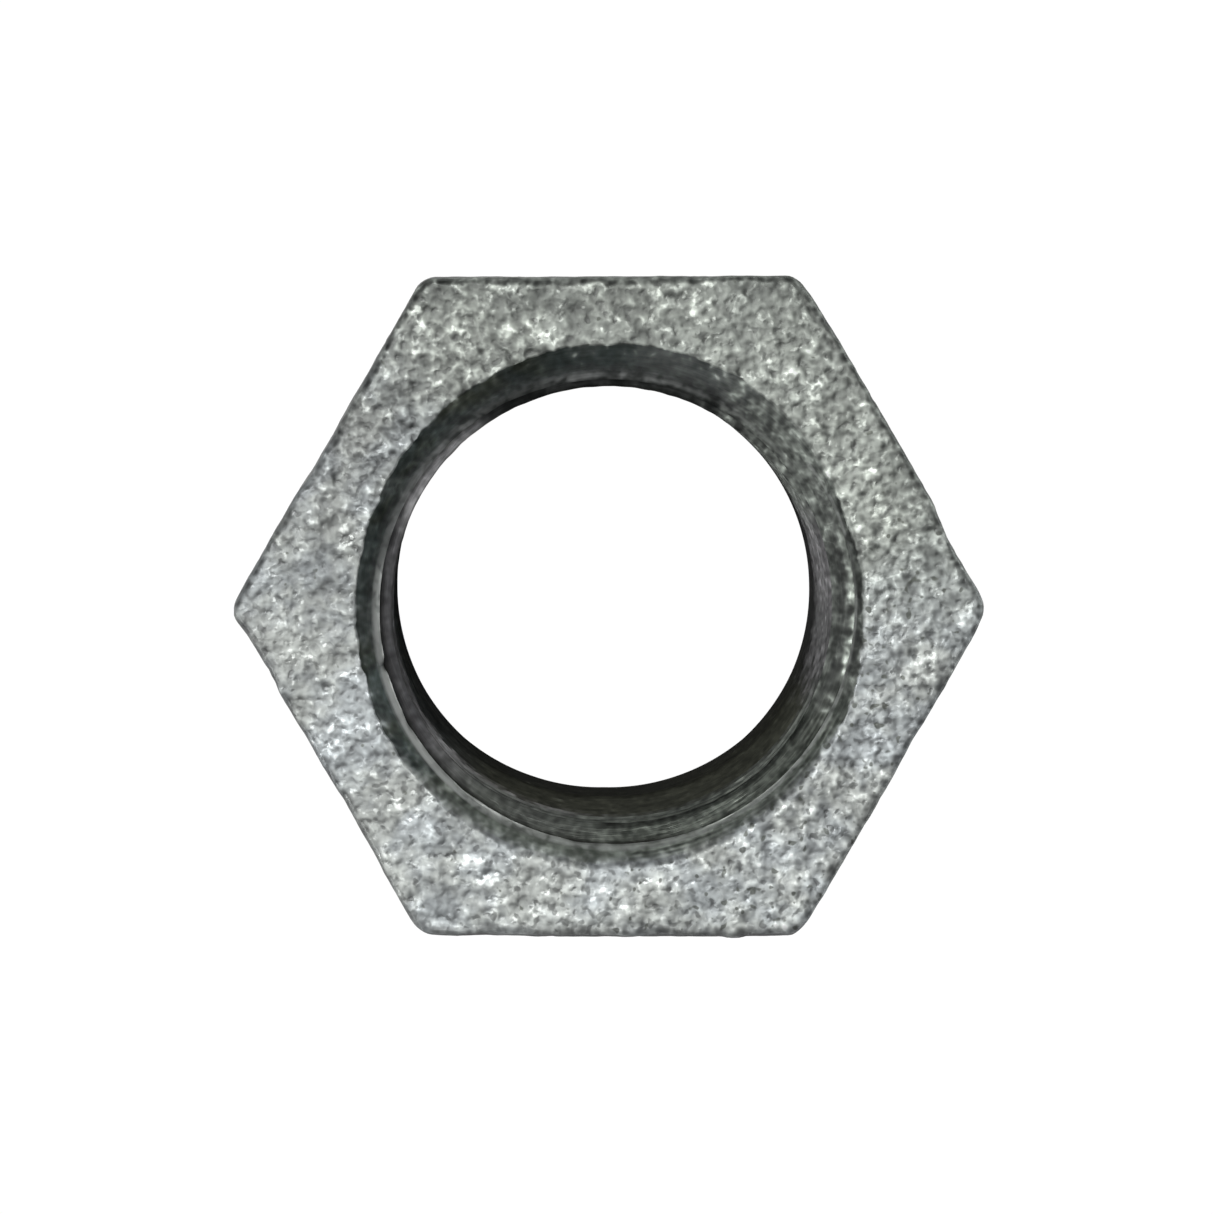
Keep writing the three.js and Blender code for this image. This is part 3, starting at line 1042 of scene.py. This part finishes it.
def bore_colour():
    """Countersink, female thread and bore: stains and painted shade laid over bare metal one by
    one.
    """
    sooty = towards(168, 52, 76) * rises(height, 27.6, 28.1)
    gritty = mottle * 0.48 + (grain * 0.36 + blotch * 0.55)
    gritty = exp(blend(sooty, 1.0, 1.75) * gritty)
    inside = mix(rises(smear, -0.3, 0.4), (0.064, 0.078, 0.074), (0.070, 0.077, 0.073))
    # Olive where the soot is oily.
    inside = mix(sooty * rises(cloud, -0.05, 0.35), inside, (0.066, 0.073, 0.058))
    # Lighter below the outer part of the cone.
    inner_cone = falls(height + blots * 0.35, 27.9, 28.35)
    inside = mix(inner_cone * 0.85, inside, (0.142, 0.152, 0.150))
    # Bright patches along the lower part of the cone, towards +Y and -X +Y.
    lip = falls(height + blots * 0.30, 27.60, 28.05)
    lip *= larger(towards(80, 20, 38), towards(146, 12, 30))
    patchy = rises(blots, -0.35, 0.30, start=0.15, end=0.95)
    inside = mix(lip * patchy, inside, (0.52, 0.53, 0.53))
    grey = towards(62, 10, 30) * 0.6 * rises(height, 25.0, 26.5)
    inside = mix(grey, inside, (0.150, 0.156, 0.150))
    # Painted shade on the turns towards +Y, and dark roots all round.
    shaded = towards(84, 36, 52) * falls(height + blots * 0.18, 27.30, 27.62)
    inside = mix(shaded * 0.80, inside, (0.040, 0.045, 0.042))
    inside = mix(cavity * 0.60, inside, (0.026, 0.025, 0.021))
    inside = mix(bloom * 0.85, inside, bloom_colour())
    inside = mix(oily * 0.85, inside, (0.046, 0.048, 0.031))
    inside = mix(dusty * 0.88, inside, dust_colour())
    inside = mix(dry * 0.90, scaled(inside, gritty), crust_colour())
    return mix(rim * 0.86, inside, (0.026, 0.026, 0.023))               # painted shadow in the root under the burr


def shank_colour():
    metal = mix(rises(smear, -0.3, 0.4), (0.43, 0.44, 0.435), (0.38, 0.376, 0.362))
    groove = scaled((0.060, 0.057, 0.050), 1.0 + smear * 0.8)
    return scaled(mix(cavity * 0.92, metal, groove), 1.0 + mottle * 0.08)


def steel_colour():
    """All the machined metal, with its marks and bright edges, the edges partly painted highlight.
    """
    bore_tone = larger(1.0 + marks * 0.42 + marks_fine * 0.22 + smear * 0.30, 0.25)
    bore_tone = blend(towards(244, 24, 44), bore_tone, 1.0 + smear * 0.30)
    shank_tone = 1.0 + (marks * 0.55 + marks_fine * 0.30)
    steel = mix(shank, bore_colour(), shank_colour())
    steel = scaled(steel, blend(shank, bore_tone, shank_tone))
    # Bright edges and crests: partly bare metal, partly painted highlight.
    bright = edge * blend(towards(272, 22, 44), 0.90, 0.55) * (1.0 - oily * 0.95)
    least = blend(towards(208, 14, 30), 0.35, 0.80)
    broken = rises(mottle + blotch * 0.6, -0.55, 0.05, start=least)
    edge_colour = mix(shank, (0.54, 0.56, 0.54), (0.70, 0.71, 0.70))
    return mix(bright * broken, steel, edge_colour)


# ---------------------------------------- material: fitting, gloss and relief

SHANK_STAIN = 0.40        # the male thread is satin all round, whatever stains the bore


def roughness():
    zinc = 0.49 + (mottle * 0.16 + grain * 0.16)
    zinc -= speck * 0.08
    steel = blend(shank, 0.42, 0.25)
    steel += marks * 0.12 + smear * 0.12
    steel += edge * (1.0 - shank) * 0.12
    stained = blend(shank, larger(dry, oily * 0.8), SHANK_STAIN)
    steel = blend(stained, steel, 0.68)
    return calc("MINIMUM", larger(blend(is_cast, steel, zinc), 0.2), 0.85)


def metallic():
    # The turns are dull: they take light from the opening, not from the dark wall opposite.
    turns = larger(bloom, dusty) * falls(height, 26.7, 27.1)
    stained = larger(larger(dry, turns), larger(oily, edge * 0.7))
    steel = blend(blend(shank, stained, SHANK_STAIN), 0.95, 0.35)
    return blend(is_cast, steel, blend(upright, 0.70, 0.85) - pit * 0.3)


def bump():
    zinc = mottle * 0.8 + (grain * 0.40 + fine * 0.02)
    zinc += blotch * 1.0 + curl * 0.06
    zinc += speck * 0.15 - pit * 0.30
    zinc *= blend(upright, 1.0, 3.2)
    steel = marks_fine * 0.20 + grain * blend(shank, 0.30, 0.10)
    steel = marks * blend(shank, 0.30, 0.42) + steel
    relief = blend(is_cast, steel, zinc)
    return Signal(add_node("Bump", {"Strength": 1.0, "Distance": 0.000024, "Height": relief}))


fitting_surface = add_node("BsdfPrincipled", {
    "Base Color": mix(is_cast, steel_colour(), zinc_colour()),
    "Metallic": metallic(),
    "Roughness": roughness(),
    "Normal": bump(),
})
add_node("OutputMaterial", {"Surface": Signal(fitting_surface)})

casting.data.materials.append(galvanised)
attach(casting, "root")
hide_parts("reducer_body")

# ----------------------------------------------------------- floor and world

BACKDROP = (0.93, 0.93, 0.93)


def build_floor():
    """A disc of rings round the origin, in metres."""
    radii = [0.03, 0.08, 0.2, 0.5, 1.2, 3.0]
    columns = 96
    vertices, faces = [(0.0, 0.0, 0.0)], []
    for r in radii:
        vertices += [(r * math.cos(t), r * math.sin(t), 0.0) for t in angles(columns)]
    for j in range(columns):
        k = (j + 1) % columns
        faces.append((0, 1 + j, 1 + k))
        for i in range(len(radii) - 1):
            inner, outer = 1 + columns * i, 1 + columns * (i + 1)
            faces.append((inner + j, outer + j, outer + k, inner + k))
    mesh = bpy.data.meshes.new("floor")
    mesh.from_pydata(vertices, [], faces)
    return add_object("floor", mesh)


def floor_material():
    """The camera sees it glow from straight above or far out, plain grey elsewhere."""
    pale = bpy.data.materials.new("pale_floor")
    open_tree(pale)
    is_camera = Signal(add_node("LightPath"), "Is Camera Ray")
    geometry = add_node("NewGeometry")
    incoming, position = Signal(geometry, "Incoming"), Signal(geometry, "Position")
    steep = calc("ABSOLUTE", vector("DOT_PRODUCT", incoming, (0, 0, 1)))
    from_above = rises(steep, 0.90, 0.97)
    far = rises(vector("LENGTH", position), 0.10, 0.45)
    speckle = noise(scaled(position, 1000.0), scale=0.6, detail=3, rough=0.6)
    grey = scaled((0.84, 0.84, 0.835), 1.0 + speckle * 0.015)
    plain = Signal(add_node("BsdfDiffuse", {"Color": grey}))
    glow_colour = mix(from_above, BACKDROP, (1.02, 1.02, 1.02))
    glow = Signal(add_node("Emission", {"Strength": 1.0, "Color": glow_colour}))
    seen = mix_shader(larger(from_above, far), plain, glow)
    # It bounces little light where it lies under the bore.
    bounce = rises(vector("LENGTH", position), 0.012, 0.015, start=0.10, end=0.75)
    bounced = Signal(add_node("BsdfDiffuse", {"Color": scaled((1.0, 1.0, 1.0), bounce)}))
    add_node("OutputMaterial", {"Surface": mix_shader(is_camera, bounced, seen)})
    return pale


floor = build_floor()
floor.data.materials.append(floor_material())


def build_world():
    """A dim sky with low strip lights; the camera sees the plain backdrop instead.

    The strips light the object's sides and stay below the rim of the countersink, so
    that they don't reach into the bore.
    """
    world = bpy.data.worlds.new("studio")
    bpy.context.scene.world = world
    open_tree(world)
    is_camera = Signal(add_node("LightPath"), "Is Camera Ray")
    direction = Signal(add_node("TexCoord"), "Generated")
    up = split(direction)[2]
    sky = rises(up, 0.0, 0.9, start=0.06, end=0.20)
    band = rises(up, 0.0, 0.008) * falls(up, 0.040, 0.060)
    strips = 2.6                                 # strength all round
    # Direction in degrees and added strength of each strip.
    for azimuth, strength in ((22, 16.0), (250, 10.0), (118, 7.0), (310, 6.0)):
        t = math.radians(azimuth)
        lobe = vector("DOT_PRODUCT", direction, (math.cos(t), math.sin(t), 0.0))
        strips = strips + larger(lobe, 0.0) ** 10.0 * strength
    sky = sky + band * strips
    light = Signal(add_node("Background", {"Strength": sky, "Color": (0.97, 0.99, 1.0)}))
    seen = Signal(add_node("Background", {"Strength": 1.0, "Color": BACKDROP}))
    add_node("OutputWorld", {"Surface": mix_shader(is_camera, light, seen)})


build_world()

# --------------------------------------------------------------------- lights


def softbox(name, azimuth, elevation, distance, size, power):
    """A round area light aimed at the head. Angles are in degrees, lengths in metres."""
    lamp = bpy.data.lights.new(name, "AREA")
    lamp.shape = "DISK"
    lamp.size = size
    lamp.energy = power
    box = add_object(name, lamp)
    turn, rise = math.radians(azimuth), math.radians(elevation)
    outwards = Vector((
        math.cos(turn) * math.cos(rise), math.sin(turn) * math.cos(rise), math.sin(rise)
    ))
    box.location = Vector((0, 0, 0.022)) + outwards * distance
    box.rotation_mode = "QUATERNION"
    box.rotation_quaternion = outwards.to_track_quat("Z", "Y")


softbox("key", azimuth=132, elevation=77, distance=0.52, size=0.16, power=1.45)
softbox("side", azimuth=204, elevation=34, distance=0.45, size=0.12, power=0.50)

# --------------------------------------------------------------------- camera

VIEW_WIDTH = 65.75631     # width of the view in the plane of the hexagon face
VIEW_CENTRE = (-0.2654085, 0.0270825)
CAMERA_DISTANCE = 360.0
SENSOR = 36.0


def build_camera():
    """Looks down on the face, almost along the axis, with +Y up in the picture."""
    data = bpy.data.cameras.new("camera")
    data.sensor_width = SENSOR
    data.lens = SENSOR * CAMERA_DISTANCE / VIEW_WIDTH
    data.clip_start, data.clip_end = 0.01, 20.0
    camera = add_object("camera", data)
    back = Vector((-0.01613, 0.0500, 1.0)).normalized()
    camera.location = Vector((*VIEW_CENTRE, FACE_Z)) * MM + back * CAMERA_DISTANCE * MM
    right = Vector((0, 1, 0)).cross(back).normalized()
    top = back.cross(right).normalized()
    camera.rotation_mode = "QUATERNION"
    camera.rotation_quaternion = Matrix((right, top, back)).transposed().to_quaternion()
    bpy.context.scene.camera = camera


build_camera()

view = bpy.context.scene.view_settings
view.view_transform = "Standard"
view.look = "None"
view.exposure = 0.0
view.gamma = 1.0
